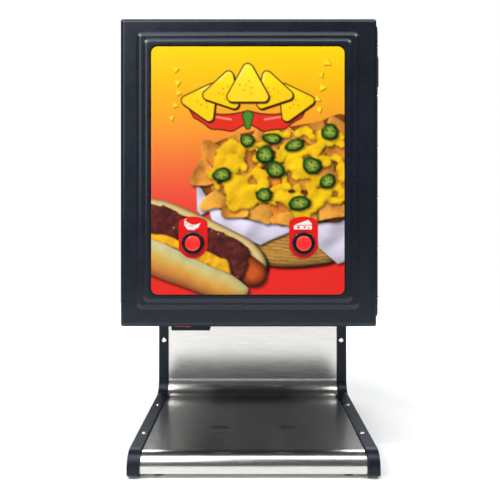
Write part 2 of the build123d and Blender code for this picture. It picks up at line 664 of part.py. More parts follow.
def door_skin():
    """The formed outer skin: rounded rim, two raised steps, and a pocket for the front panel."""
    skin = front_plate(DOOR_CX, DOOR_CZ, DOOR_W, DOOR_H, DOOR_CORNER, DOOR_BACK, DOOR_RIM)
    skin = fillet(skin.faces().sort_by(Axis.Y)[0].edges(), RIM_ROUND)
    skin += raised_step(STEP_MARGINS[0], RIM_FRONT + 0.01, STEP_1 + 0.01)
    skin += raised_step(STEP_MARGINS[1], RIM_FRONT - STEP_1 + 0.01, STEP_2 + 0.01)
    skin -= panel_plate(POCKET_GAP, PANEL_R + POCKET_GAP, PANEL_BACK, 5.0)
    hollow = RIM_FRONT + DOOR_WALL
    width, height = DOOR_W - 2 * DOOR_WALL, DOOR_H - 2 * DOOR_WALL
    inside = front_plate(DOOR_CX, DOOR_CZ, width, height, 3.0, DOOR_BACK + 1, DOOR_BACK + 1 - hollow)
    skin -= fillet(inside.faces().sort_by(Axis.Y)[0].edges(), RIM_ROUND - DOOR_WALL)
    skin -= panel_plate(4.0, 8.0, hollow + 0.01, STEP_1 - 0.6)
    for x in BUTTONS.values():
        skin -= rod_y(x, BUTTON_Z, BARREL_R + 0.2, (FACE - 1, DOOR_BACK))
    for z in hinge_screw_heights():
        skin -= rod_x(HINGE_Y - 16, z, 1.8, (DOOR_X[1] - 5, DOOR_X[1] + 2))
    return skin


def door_inner_pan():
    """The steel inner sheet that closes the door's back, with a turned edge."""
    width, height = DOOR_W - 2 * DOOR_WALL - 0.6, DOOR_H - 2 * DOOR_WALL - 0.6
    pan = front_plate(DOOR_CX, DOOR_CZ, width, height, 2.5, DOOR_BACK, 12.0)
    pan -= front_plate(DOOR_CX, DOOR_CZ, width - 2.4, height - 2.4, 1.5, DOOR_BACK - LEAF, 12.0)
    for x in BUTTONS.values():
        pan -= rod_y(x, BUTTON_Z, BARREL_R + 1.0, (DOOR_BACK - 13, DOOR_BACK + 1))
    for z in hinge_screw_heights():
        pan -= rod_x(HINGE_Y - 16, z, 1.8, (DOOR_X[1] - 8, DOOR_X[1]))
    return pan


def door_gasket():
    """A flat foam seal between the door and the cabinet's front flanges."""
    cz, height = (CABINET_TOP + CABINET_BOTTOM) / 2, CABINET_TOP - CABINET_BOTTOM
    back = CABINET_FRONT - 0.2
    seal = front_plate(0, cz, 368.0, height - 8, 4.0, back, back - DOOR_BACK)
    return seal - front_plate(0, cz, 352.0, height - 24, 2.0, back + 1, back - DOOR_BACK + 2)


def graphic_panel():
    """The printed front panel, with a hole for each button."""
    panel = panel_plate(0, PANEL_R, PANEL_BACK, PANEL_T)
    for x in BUTTONS.values():
        panel -= rod_y(x, BUTTON_Z, BARREL_R + 0.2, (FACE - 5, FACE + 5))
    return panel


def revolve_y(profile):
    """A solid of revolution about the Y axis from (radius, y) corners."""
    return revolve(Plane.XY * make_face(Polyline(*profile, close=True)), Axis.Y)


def button_bezel(side):
    """The black barrel of a push button: a rounded ring in front and a threaded tube behind."""
    bore = PLUNGER_R + 0.35
    front, end = PANEL_FACE - 4.0, SWITCH_FRONT
    ring = revolve_y([(bore, PANEL_FACE), (BEZEL_R, PANEL_FACE), (BEZEL_R, front), (bore, front)])
    front_edges = ring.edges().filter_by(GeomType.CIRCLE).group_by(Axis.Y)[0]
    ring = fillet(front_edges.sort_by(SortBy.RADIUS)[-1:], 1.8)
    tube = revolve_y([(bore, PANEL_FACE), (BARREL_R, PANEL_FACE), (BARREL_R, end), (5.6, end),
                      (5.6, end - 2), (bore, end - 2)])
    return Pos(BUTTONS[side], 0, BUTTON_Z) * (ring + tube)


def button_plunger(side):
    """The red key: a slightly dished cap with a rounded edge, and a stem to the switch."""
    face = PANEL_FACE - PLUNGER_OUT
    cap = rod_y(0, 0, PLUNGER_R, (face, face + 18))
    cap = fillet(cap.faces().sort_by(Axis.Y)[0].edges(), 2.2)
    dish = (9.0**2 + 0.6**2) / 1.2
    cap -= Pos(0, face - dish + 0.6, 0) * Sphere(dish)
    cap += rod_y(0, 0, 5.0, (face + 17, SWITCH_FRONT - BUTTON_TRAVEL - 0.4))
    return Pos(BUTTONS[side], 0, BUTTON_Z) * cap


def button_nuts():
    """Hexagon nuts that clamp each button barrel to the skin."""
    back = RIM_FRONT - STEP_1 + DOOR_WALL + 0.6
    nut = Plane.XZ.offset(-back - 6.2) * RegularPolygon(18.5, 6)
    nut = extrude(nut, 6.0) - rod_y(0, 0, BARREL_R + RUNNING, (-200, -140))
    return group(Pos(x, 0, BUTTON_Z) * nut for x in BUTTONS.values())


def button_switches():
    """Snap-action switches clipped behind each barrel, with their terminals."""
    front, rear = SWITCH_FRONT, SWITCH_FRONT + 15.0
    body = block((-14, 14), (front, rear), (-5, 5))
    body += rod_y(0, 0, 4.6, (front - 0.2, front + 1))
    for x in (-9, 0, 9):
        body += block((x - 0.4, x + 0.4), (rear, rear + 5.5), (-2.4, 2.4))
    return group(Pos(x, 0, BUTTON_Z) * body for x in BUTTONS.values())


def switch_cover():
    """A folded cover inside the door, over both switches."""
    x = (BUTTONS["left"] - 24, BUTTONS["right"] + 24)
    y = (DOOR_BACK, -128.0)
    z = (BUTTON_Z - 22, BUTTON_Z + 22)
    cover = block(x, y, z)
    cover = fillet(cover.edges().filter_by_position(Axis.Y, y[1] - 0.01, y[1] + 0.01), 2.0)
    inside_x, inside_z = (x[0] + LEAF, x[1] - LEAF), (z[0] + LEAF, z[1] - LEAF)
    return cover - block(inside_x, (y[0] - 1, y[1] - LEAF), inside_z)


# --- hinge ---


def hinge_screw_heights():
    low, high = HINGE_Z
    return [low + 28 + i * (high - low - 56) / 5 for i in range(6)]


def hinge_leaf(own, plate, web):
    """One leaf of the continuous hinge: a full-length plate, and a knuckle with its web in
    every other space along the pin."""
    low, high = HINGE_Z
    pitch = (high - low) / KNUCKLES
    leaf = Pos(0, 0, low) * extrude(make_face(Polyline(*plate, close=True)), high - low)
    knuckle = make_face(Polyline(*web, close=True)) + Pos(HINGE_X, HINGE_Y) * Circle(KNUCKLE_R)
    knuckle -= Pos(HINGE_X, HINGE_Y) * Circle(HINGE_PIN_R + RUNNING)
    for i in range(own, KNUCKLES, 2):
        leaf += Pos(0, 0, low + i * pitch + 0.15) * extrude(knuckle, pitch - 0.3)
    return leaf


def hinge_leaf_cabinet():
    x, y = CABINET_HALF, HINGE_Y
    plate = [(x, y + 4.4), (x + LEAF, y + 4.4), (x + LEAF, y + 30), (x, y + 30)]
    web = [(x, y + 5), (x + LEAF, y + 5), (x + LEAF, y + 2.2), (x, y + 2.2)]
    leaf = hinge_leaf(0, plate, web)
    for z in hinge_screw_heights()[:-1]:
        leaf -= rod_x(y + 18, z, 1.8, (x - 1, x + 3))
    return leaf


def hinge_leaf_door():
    x, y = DOOR_X[1], HINGE_Y
    plate = [(x, y - 7), (x + LEAF, y - 7), (x + LEAF, y - 22), (x, y - 22)]
    web = [(x, y - 7.6), (x + LEAF, y - 7.6), (x + LEAF, y - 7.0), (HINGE_X - 0.4, y - 2.5),
           (HINGE_X - 2.2, y - 2.0), (x, y - 5.8)]
    leaf = hinge_leaf(1, plate, web)
    for z in hinge_screw_heights():
        leaf -= rod_x(y - 16, z, 1.8, (x - 1, x + 3))
    return leaf


def hinge_pin():
    return rod_z(HINGE_X, HINGE_Y, HINGE_PIN_R, (HINGE_Z[0] + 0.2, HINGE_Z[1] - 0.2))


def hinge_screws(x, y, heights):
    """Low-headed screws that hold one leaf, driven in from the right."""
    screw = Rot(0, 90, 0) * pan_screw(6.0, radius=1.6, head=2.9)
    return group(Pos(x + LEAF, y, z) * screw for z in heights)


def catch_magnets():
    """Two magnet blocks on brackets inside the left edge of the opening; they hold the pan."""
    blocks = []
    for z in (300.0, 630.0):
        bracket = block((-188.5, -160.0), (-149.9, -148.3), (z - 15, z + 15))
        magnet = block((-173.5, -161.5), (DOOR_BACK + 0.6, -149.9), (z - 12, z + 12))
        blocks.append(bracket + magnet)
    return group(blocks)


def main():
    nodes = {
        "stand_sheet": stand_sheet(),
        "stand_frames": group(stand_frame(s) for s in SIDES.values()),
        "rail_screws": rail_screws(),
        "base_pan": base_pan(),
        "rubber_feet": rubber_feet(),
        "column_back": column_back(),
        "cabinet_bolts": cabinet_bolts(),
        "cabinet_shell": cabinet_shell(),
        "cabinet_floor": cabinet_floor(),
        "cabinet_back": cabinet_back(),
        "panel_screws": panel_screws(),
        "cord_gland": cord_gland(),
        "wiring_cover": wiring_cover(),
        "pump_deck": pump_deck(),
        "plenum_panel": plenum_panel(),
        "center_divider": center_divider(),
        "tray_rails": tray_rails(),
        "nozzle_guides": nozzle_guides(),
        "fan_frame": fan_frame(),
        "fan_rotor": fan_rotor(),
        "fan_guard": fan_guard(),
        "heater_element": heater_element(),
        "power_supply": power_supply(),
        "control_board": control_board(),
        "switch_pod": switch_pod(),
        "door_skin": door_skin(),
        "door_inner_pan": door_inner_pan(),
        "door_gasket": door_gasket(),
        "graphic_panel": graphic_panel(),
        "button_nuts": button_nuts(),
        "button_switches": button_switches(),
        "switch_cover": switch_cover(),
        "hinge_leaf_cabinet": hinge_leaf_cabinet(),
        "hinge_leaf_door": hinge_leaf_door(),
        "hinge_pin": hinge_pin(),
        "hinge_screws_cabinet": hinge_screws(CABINET_HALF, HINGE_Y + 18, hinge_screw_heights()[:-1]),
        "hinge_screws_door": hinge_screws(DOOR_X[1], HINGE_Y - 16, hinge_screw_heights()),
        "catch_magnets": catch_magnets(),
    }
    for name in ROCKERS:
        nodes[name] = rocker(name)
    for name, side in SIDES.items():
        nodes[f"side_rail_{name}"] = side_rail(side)
        nodes[f"bag_tray_{name}"] = bag_tray(side)
        nodes[f"pump_body_{name}"] = pump_body(side)
        nodes[f"pump_rotor_{name}"] = pump_rotor(side)
        nodes[f"pump_roller_{name}_lower"] = pump_roller(side, -1)
        nodes[f"pump_roller_{name}_upper"] = pump_roller(side, 1)
        nodes[f"pump_gate_{name}"] = pump_gate(side)
        nodes[f"gearmotor_{name}"] = gearmotor(side)
        nodes[f"button_bezel_{name}"] = button_bezel(name)
        nodes[f"button_plunger_{name}"] = button_plunger(name)
    os.makedirs("parts", exist_ok=True)
    for name, shape in nodes.items():
        export_step(shape, f"parts/{name}.step")


main()
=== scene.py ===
import json

from math import radians

import bmesh
import bpy
import numpy as np
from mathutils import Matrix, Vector


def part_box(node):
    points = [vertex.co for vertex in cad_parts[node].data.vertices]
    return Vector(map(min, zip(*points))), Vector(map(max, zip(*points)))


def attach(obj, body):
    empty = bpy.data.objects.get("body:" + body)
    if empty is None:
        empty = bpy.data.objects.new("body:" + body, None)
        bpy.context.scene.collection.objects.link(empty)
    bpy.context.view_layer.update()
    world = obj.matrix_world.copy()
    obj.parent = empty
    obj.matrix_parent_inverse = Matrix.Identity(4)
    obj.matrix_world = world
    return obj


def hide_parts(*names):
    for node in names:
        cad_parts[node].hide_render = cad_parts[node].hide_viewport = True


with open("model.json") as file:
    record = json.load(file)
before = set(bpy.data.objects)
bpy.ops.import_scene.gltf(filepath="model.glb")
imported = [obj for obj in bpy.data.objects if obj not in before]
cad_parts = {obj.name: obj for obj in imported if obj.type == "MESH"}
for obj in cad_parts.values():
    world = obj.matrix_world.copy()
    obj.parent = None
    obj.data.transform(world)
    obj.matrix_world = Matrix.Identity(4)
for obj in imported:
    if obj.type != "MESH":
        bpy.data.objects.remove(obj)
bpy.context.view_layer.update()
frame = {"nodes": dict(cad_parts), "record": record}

MM = 0.001


# --- finishes: every one is a node tree on the object's own coordinates ---


class Finish:
    """A material with short calls for the nodes that the finishes share."""

    def __init__(self, name, colour, roughness, **sockets):
        self.material = bpy.data.materials.new(name)
        self.material.use_nodes = True
        self.tree = self.material.node_tree
        self.shader = self.tree.nodes["Principled BSDF"]
        self.shader.inputs["Base Color"].default_value = (*colour, 1)
        self.shader.inputs["Roughness"].default_value = roughness
        for key, value in sockets.items():
            self.shader.inputs[key.replace("_", " ")].default_value = value
        self.colour = colour
        self.roughness = roughness
        self.place = self.node("ShaderNodeTexCoord").outputs["Object"]

    def node(self, kind, **inputs):
        made = self.tree.nodes.new(kind)
        for key, value in inputs.items():
            self.put(made.inputs[key.replace("_", " ")], value)
        return made

    def put(self, socket, value):
        if isinstance(value, bpy.types.NodeSocket):
            self.tree.links.new(value, socket)
        else:
            socket.default_value = value

    def noise(self, size, stretch=(1, 1, 1), detail=3.0):
        """Noise with patches of about size millimetres, drawn out along an axis by stretch."""
        scale = [1 / (size * MM * s) for s in stretch]
        mapped = self.node("ShaderNodeMapping", Vector=self.place, Scale=scale)
        made = self.node("ShaderNodeTexNoise", Vector=mapped.outputs["Vector"], Scale=1.0, Detail=detail)
        return made.outputs["Fac"]

    def cells(self, size):
        """Rounded grains of about size millimetres."""
        mapped = self.node("ShaderNodeMapping", Vector=self.place, Scale=[1 / (size * MM)] * 3)
        made = self.node("ShaderNodeTexVoronoi", Vector=mapped.outputs["Vector"], Scale=1.0)
        return made.outputs["Distance"]

    def spread(self, source, low, high, start=0.3, end=0.7):
        """The source's values from start to end, turned into values from low to high."""
        made = self.node("ShaderNodeMapRange", Value=source)
        for socket, value in zip(made.inputs[1:5], (start, end, low, high)):
            socket.default_value = value
        return made.outputs["Result"]

    def blend(self, amount, first, second):
        made = self.node("ShaderNodeMix")
        made.data_type = "RGBA"
        self.put(made.inputs["Factor"], amount)
        self.put(made.inputs["A"], first)
        self.put(made.inputs["B"], second)
        return made.outputs["Result"]

    def times(self, first, second):
        made = self.node("ShaderNodeMath")
        made.operation = "MULTIPLY"
        self.put(made.inputs[0], first)
        self.put(made.inputs[1], second)
        return made.outputs["Value"]

    def mottle(self, size, amount, stretch=(1, 1, 1)):
        """The base colour varies by amount, darker and lighter, in patches."""
        dark = (*[c * (1 - amount) for c in self.colour], 1)
        light = (*[min(c * (1 + amount), 1) for c in self.colour], 1)
        tone = self.blend(self.spread(self.noise(size, stretch), 0, 1), dark, light)
        self.put(self.shader.inputs["Base Color"], tone)
        return self

    def scuff(self, size, amount, stretch=(1, 1, 1)):
        """The roughness varies by amount."""
        rough = self.spread(self.noise(size, stretch), self.roughness - amount, self.roughness + amount)
        self.put(self.shader.inputs["Roughness"], rough)
        return self

    def bump(self, source, depth, strength=1.0):
        """A relief of depth millimetres, over any relief that is there already."""
        made = self.node("ShaderNodeBump", Height=source, Distance=depth * MM, Strength=strength)
        under = self.shader.inputs["Normal"].links
        if under:
            self.tree.links.new(under[0].from_socket, made.inputs["Normal"])
        self.tree.links.new(made.outputs["Normal"], self.shader.inputs["Normal"])
        return self


COOL_SHEEN = (0.80, 0.89, 1.0, 1)


def powder_coat(name, colour, roughness=0.42):
    coat = Finish(name, colour, roughness)
    coat.mottle(60, 0.12).scuff(25, 0.05)
    coat.bump(coat.noise(1.6, detail=2), 0.05, 0.5).bump(coat.noise(0.5, detail=1), 0.02, 0.4)
    return coat.material


def formed_sheet(name, colour, roughness=0.28):
    """Thermoformed plastic: satin, with the faint waviness of a drawn sheet."""
    sheet = Finish(name, colour, roughness, Specular_IOR_Level=0.38,
                   Specular_Tint=COOL_SHEEN)
    sheet.mottle(70, 0.12).scuff(30, 0.04)
    sheet.bump(sheet.noise(70, detail=1), 0.5, 0.25).bump(sheet.noise(0.6, detail=2), 0.012, 0.5)
    return sheet.material


def moulding(name, colour, roughness=0.45, grain=0.9, depth=0.05):
    plastic = Finish(name, colour, roughness, Specular_IOR_Level=0.26,
                     Specular_Tint=COOL_SHEEN)
    plastic.mottle(40, 0.1).scuff(18, 0.05)
    plastic.bump(plastic.cells(grain), depth, 0.6)
    return plastic.material


def gloss_plastic(name, colour, roughness=0.22, **sockets):
    plastic = Finish(name, colour, roughness, **sockets)
    plastic.mottle(15, 0.06).scuff(8, 0.05)
    plastic.bump(plastic.noise(3, detail=1), 0.01, 0.5)
    return plastic.material


def brushed(name, colour, roughness=0.21, grain=(60, 1, 1), depth=0.0008):
    """Sheet metal with a fine directional finish, drawn out along the axis whose grain is large."""
    metal = Finish(name, colour, roughness, Metallic=1.0)
    metal.mottle(0.5, 0.05, grain).scuff(0.6, 0.05, grain)
    metal.bump(metal.noise(0.3, grain, 2), depth, 1.0)
    metal.bump(metal.noise(110, detail=1), 0.25, 0.25)
    return metal.material


def mill_steel(name, colour, roughness=0.38):
    metal = Finish(name, colour, roughness, Metallic=1.0)
    metal.mottle(14, 0.05).scuff(9, 0.04)
    metal.bump(metal.noise(0.8, (40, 1, 1), 2), 0.002, 0.8)
    return metal.material


def plated(name, colour, roughness=0.2):
    metal = Finish(name, colour, roughness, Metallic=1.0)
    metal.mottle(2, 0.08).scuff(1.5, 0.07)
    metal.bump(metal.noise(0.6, detail=2), 0.01, 0.5)
    return metal.material


def rubber(name, colour, roughness=0.75):
    soft = Finish(name, colour, roughness)
    soft.mottle(6, 0.2).scuff(4, 0.1)
    soft.bump(soft.noise(0.6, detail=4), 0.05, 0.6)
    return soft.material


def printed(name):
    """Ink on a polycarbonate sheet under a clear satin laminate: the ink is in the mesh."""
    ink = Finish(name, (1, 1, 1), 0.36, Coat_Weight=0.05, Coat_Roughness=0.12, Specular_IOR_Level=0.13)
    colour = ink.node("ShaderNodeAttribute")
    colour.attribute_name = "ink"
    dots = ink.spread(ink.noise(0.35, detail=1), 0.0, 0.10)
    ink.put(ink.shader.inputs["Base Color"],
            ink.blend(dots, colour.outputs["Color"], (0.02, 0.01, 0.01, 1)))
    ink.scuff(30, 0.04)
    ink.bump(ink.noise(0.9, detail=2), 0.008, 0.4)
    return ink.material


def circuit_board(name):
    """Green laminate with dark blue relays and white connectors standing on it."""
    low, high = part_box("control_board")
    laminate_top = low.z + 14.2 * MM
    between = (low.y + high.y) / 2
    board = Finish(name, (0.02, 0.16, 0.06), 0.35)
    height = board.node("ShaderNodeSeparateXYZ", Vector=board.place)
    above = board.spread(height.outputs["Z"], 0, 1, laminate_top, laminate_top + 0.1 * MM)
    rear = board.spread(height.outputs["Y"], 0, 1, between, between + MM)
    part = board.blend(rear, (0.02, 0.05, 0.3, 1), (0.75, 0.74, 0.7, 1))
    tracks = board.spread(board.noise(1.2, (8, 1, 1), 1), 0, 1, 0.52, 0.56)
    laminate = board.blend(tracks, (0.015, 0.14, 0.05, 1), (0.05, 0.28, 0.1, 1))
    board.put(board.shader.inputs["Base Color"], board.blend(above, laminate, part))
    board.scuff(2, 0.08)
    return board.material


FINISHES = {
    "black_shell": powder_coat("black_powder_coat", (0.011, 0.013, 0.018)),
    "black_moulding": moulding("black_moulding", (0.005, 0.007, 0.012), 0.36, depth=0.03),
    "door_plastic": formed_sheet("door_satin_black", (0.006, 0.0075, 0.012)),
    "stainless": brushed("brushed_stainless", (0.60, 0.595, 0.575)),
    "inner_steel": mill_steel("inner_sheet_steel", (0.50, 0.51, 0.52)),
    "screw_steel": plated("bright_screw_plating", (0.72, 0.72, 0.73)),
    "hinge_steel": powder_coat("hinge_black_coat", (0.028, 0.029, 0.031), 0.34),
    "rubber_black": rubber("black_rubber", (0.012, 0.012, 0.013)),
    "gland_nylon": moulding("black_nylon", (0.015, 0.015, 0.017), 0.5, 0.5, 0.02),
    "graphic": gloss_plastic("panel_edge", (0.85, 0.82, 0.75), 0.3),
    "button_black": gloss_plastic("button_ring_black", (0.004, 0.006, 0.008), 0.25, Specular_IOR_Level=0.3),
    "button_red": gloss_plastic("button_key_red", (0.78, 0.022, 0.018), 0.2, Subsurface_Weight=0.08,
                                Subsurface_Scale=0.002),
    "rocker_red": gloss_plastic("rocker_lit_red", (0.60, 0.02, 0.015), 0.2, Emission_Strength=0.35,
                                Emission_Color=(0.9, 0.03, 0.02, 1)),
    "rocker_dark": gloss_plastic("rocker_dark_blue", (0.010, 0.016, 0.045), 0.25),
    "white_acetal": gloss_plastic("white_acetal", (0.80, 0.79, 0.76), 0.33, Subsurface_Weight=0.15,
                                  Subsurface_Scale=0.003),
    "pump_black": moulding("pump_black_nylon", (0.028, 0.029, 0.032), 0.4, 0.6, 0.03),
    "pump_blue": gloss_plastic("pump_gate_blue", (0.03, 0.10, 0.32), 0.3),
    "rotor_grey": plated("machined_aluminium", (0.55, 0.56, 0.57), 0.3),
    "roller_white": gloss_plastic("roller_white", (0.78, 0.78, 0.74), 0.35),
    "motor_can": plated("motor_can", (0.36, 0.37, 0.38), 0.32),
    "heater_alloy": mill_steel("heater_alloy", (0.55, 0.55, 0.56), 0.34),
    "board_green": circuit_board("circuit_board"),
    "magnet_black": moulding("magnet_case", (0.03, 0.03, 0.03), 0.5, 0.7, 0.03),
}

for part in frame["record"]["subparts"]:
    shown = frame["nodes"][part["node"]]
    shown.data.materials.clear()
    shown.data.materials.append(FINISHES[part["material_slot"]])


# --- the picture on the front panel, made by formula ---

PANEL_LOW, PANEL_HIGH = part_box("graphic_panel")
PRINT_W, PRINT_H = ((PANEL_HIGH - PANEL_LOW) / MM).xz


def srgb(*c):
    return np.array(c, float) / 255.0


def ramp(x, stops, inks):
    """Colours that run from ink to ink as x passes the stops."""
    return np.stack([np.interp(x, stops, [ink[k] / 255 for ink in inks]) for k in range(3)], axis=-1)


class Print:
    """A picture made by formula on a fine grid: u is millimetres from the sheet's left edge,
    v is millimetres down from its top edge."""

    def __init__(self, u, v, rgb, step):
        self.u, self.v, self.rgb, self.step = u, v, rgb, step

    @classmethod
    def blank(cls, columns, rows, width, height):
        u, v = np.meshgrid(np.linspace(0, width, columns), np.linspace(0, height, rows))
        return cls(u, v, np.zeros(u.shape + (3,)), width / (columns - 1))

    def window(self, cu, cv, reach):
        """The part within reach of a point. What is laid there is laid on the whole picture."""
        near = (np.abs(self.u - cu) < reach) & (np.abs(self.v - cv) < reach)
        rows, columns = np.where(near.any(axis=1))[0], np.where(near.any(axis=0))[0]
        part = (slice(rows[0], rows[-1] + 1), slice(columns[0], columns[-1] + 1))
        return Print(self.u[part], self.v[part], self.rgb[part], self.step)

    def lay(self, colour, cover):
        cover = cover[..., None]
        self.rgb *= 1 - cover
        self.rgb += colour * cover

    def shade(self, amount, cover):
        self.rgb *= (1 - amount * cover)[..., None]

    def noise(self, scale, seed, turn=0.0, stretch=1.0):
        """Smooth random values from -1 to 1 whose patches are about scale millimetres wide."""
        a, b = turned(self.u, self.v, turn)
        x, y = a / scale / stretch + 500, b / scale + 500
        grid = np.random.default_rng(seed).uniform(-1, 1, (64, 64))
        i, j = np.floor(x).astype(int), np.floor(y).astype(int)
        s, t = ease(x - i), ease(y - j)
        corner = [[grid[(j + q) % 64, (i + p) % 64] for p in (0, 1)] for q in (0, 1)]
        top = corner[0][0] * (1 - s) + corner[0][1] * s
        low = corner[1][0] * (1 - s) + corner[1][1] * s
        return top * (1 - t) + low * t

    def relief(self, height, light=(-0.45, -0.6, 0.66)):
        """How light falls on a height field, about 1 where it lies flat."""
        dv, du = np.gradient(height, self.step)
        length = np.sqrt(du**2 + dv**2 + 1)
        facing = (-du * light[0] - dv * light[1] + light[2]) / length
        return facing / light[2], np.clip(facing, 0, 1)

    def body(self, away, colour, bulge=3.0, soft=5.0, rough=None, gloss=0.0, shadow=0.45, drop=2.2,
             ambient=0.62, rim=0.35):
        """A rounded thing: away is the signed distance to its outline, negative inside."""
        if shadow:
            fall = np.clip(1 - (shift(away, drop / self.step) + 1.0) / 5.0, 0, 1) ** 2
            self.shade(shadow, fall * (away > -0.5))
        inside = np.clip(-away / soft, 0, 1)
        height = bulge * np.sqrt(1 - (1 - inside) ** 2)
        if rough is not None:
            height = height + rough
        lit, facing = self.relief(height)
        tone = np.clip(ambient + (1 - ambient) * lit, 0.25, 1.35)
        tone *= 1 - rim * (1 - inside) ** 3
        ink = np.clip(colour * tone[..., None], 0, 1)
        glint = gloss * smooth(0.93, 1.0, facing) * (inside > 0.2)
        ink = ink + (1 - ink) * glint[..., None]
        self.lay(ink, smooth(0.45, -0.45, away))


def ease(t):
    return t * t * (3 - 2 * t)


def smooth(low, high, x):
    return ease(np.clip((x - low) / (high - low), 0, 1))


def turned(u, v, angle, cu=0.0, cv=0.0):
    c, s = np.cos(angle), np.sin(angle)
    return (u - cu) * c + (v - cv) * s, -(u - cu) * s + (v - cv) * c


def shift(field, cells):
    """The field moved right and down by some cells."""
    k = max(int(round(cells)), 1)
    moved = np.pad(field, ((k, 0), (k, 0)), mode="edge")
    return moved[: field.shape[0], : field.shape[1]]


def polygon(u, v, points, radius=0.0):
    """Signed distance to a closed outline, rounded by radius."""
    pts = np.array(points, float)
    if radius:
        centre = pts.mean(axis=0)
        pts = centre + (pts - centre) * (1 - 1.6 * radius / np.abs(pts - centre).max())
    best = np.full(u.shape, 1e9)
    sign = np.ones(u.shape)
    for (x0, y0), (x1, y1) in zip(pts, np.roll(pts, -1, axis=0)):
        ex, ey = x1 - x0, y1 - y0
        wx, wy = u - x0, v - y0
        t = np.clip((wx * ex + wy * ey) / (ex * ex + ey * ey), 0, 1)
        best = np.minimum(best, (wx - ex * t) ** 2 + (wy - ey * t) ** 2)
        above, below = v >= y0, v < y1
        side = ex * wy > ey * wx
        flip = (above & below & side) | (~above & ~below & ~side)
        sign = np.where(flip, -sign, sign)
    return sign * np.sqrt(best) - radius


def curve(points, steps=8):
    """A smooth closed outline through the points."""
    pts = np.array(points, float)
    out = []
    for k in range(len(pts)):
        p0, p1, p2, p3 = (pts[(k + d) % len(pts)] for d in (-1, 0, 1, 2))
        for t in np.arange(steps) / steps:
            out.append(0.5 * (2 * p1 + (p2 - p0) * t + (2 * p0 - 5 * p1 + 4 * p2 - p3) * t**2
                              + (3 * p1 - p0 - 3 * p2 + p3) * t**3))
    return out


def merge(distances, width):
    """Smooth union of several distance fields."""
    total = distances[0]
    for d in distances[1:]:
        h = np.clip(0.5 + 0.5 * (d - total) / width, 0, 1)
        total = d * (1 - h) + total * h - width * h * (1 - h)
    return total


def capsule(u, v, a, b, ra, rb):
    ex, ey = b[0] - a[0], b[1] - a[1]
    t = np.clip(((u - a[0]) * ex + (v - a[1]) * ey) / (ex * ex + ey * ey), 0, 1)
    return np.hypot(u - a[0] - ex * t, v - a[1] - ey * t) - (ra + (rb - ra) * t)


def backdrop(art):
    stops = [0, 60, 115, 165, 225, 300, 380]
    inks = [(250, 212, 14), (248, 186, 24), (250, 158, 48), (243, 124, 58), (239, 82, 64),
            (235, 48, 40), (236, 46, 38)]
    wave = art.v + 3 * art.noise(60, 3)
    art.rgb[:] = ramp(wave, stops, inks)


def basket(art):
    edge = curve([(150, 285), (200, 268), (262, 280), (284, 312), (276, 327), (247, 333), (208, 335.5),
                  (179, 333), (168, 322), (158, 300)])
    away = polygon(art.u, art.v, edge)
    bow = art.v - 5 * np.sin((art.u - 165) / 38) + 1.2 * art.noise(9, 11)
    reed = np.abs(((bow / 5.2) % 1) - 0.5) * 2
    stake = np.abs((((art.u + (bow // 5.2 % 2) * 9) / 18) % 1) - 0.5) * 2
    tone = 0.82 + 0.26 * np.sqrt(1 - reed**2) - 0.45 * smooth(0.7, 1.0, reed) * smooth(0.45, 0.75, stake)
    tone += 0.12 * art.noise(2.0, 12, stretch=6)
    wood = srgb(186, 136, 66) * tone[..., None]
    art.body(away, wood, bulge=6, soft=16, shadow=0.75, drop=3)


def napkin(art):
    sheet = [(68.7, 211), (84, 224), (100, 240), (150, 256), (215, 258), (296, 240), (296, 327), (285, 331),
             (272, 320), (256, 306), (252, 282), (212, 282), (181, 294.5), (166, 302), (104, 275.5),
             (92, 263.5), (88, 250), (74.6, 256), (69.7, 250)]
    away = polygon(art.u, art.v, sheet, 0.6)
    a, b = turned(art.u, art.v, 0.5)
    folds = 1.5 * np.sin(a / 8 + 1.8 * art.noise(26, 21)) + 3.4 * art.noise(20, 22, 0.4, 2.5)
    cloth = srgb(224, 216, 236) * (1 - 0.12 * smooth(250, 320, art.v))[..., None]
    art.body(away, cloth, bulge=0.6, soft=3, rough=folds, shadow=0.55, ambient=0.6, rim=0.12)


def chip(art, cu, cv, size, turn, tint, seed, slim):
    """One baked corn chip, about size across; tint is 0 for light and 1 for dark."""
    view = art.window(cu, cv, size * 1.3)
    a, b = turned(view.u, view.v, turn, cu, cv)
    wavy = 0.9 * view.noise(12, seed) + 0.15 * view.noise(3, seed + 1)
    corners = [(size * 0.62 * np.cos(k), slim * size * 0.62 * np.sin(k)) for k in (0.1, 2.2, 4.25)]
    away = polygon(a, b + 0.5 * slim * a**2 / size, corners, size * 0.14) + wavy
    warp = (a / size) * 0.5 + (b / size) ** 2 * 0.7
    speckle = 0.05 * view.noise(1.3, seed + 2) + 0.05 * view.noise(4, seed + 3)
    toast = smooth(-0.1, 0.7, view.noise(11, seed + 4))[..., None] * 0.5
    ink = srgb(230, 164, 64) * (1 - tint) + srgb(208, 118, 44) * tint
    ink = (ink * (1 - toast) + srgb(196, 108, 40) * toast) * (1.0 + warp + speckle)[..., None]
    curl = 0.16 * (a / size) ** 2 * size + 0.5 * view.noise(9, seed + 5) + 0.07 * view.noise(2, seed + 6)
    view.body(away, ink, bulge=0.9, soft=2.2, rough=curl, gloss=0.12, shadow=0.5, drop=2.6, ambient=0.6,
              rim=0.12)


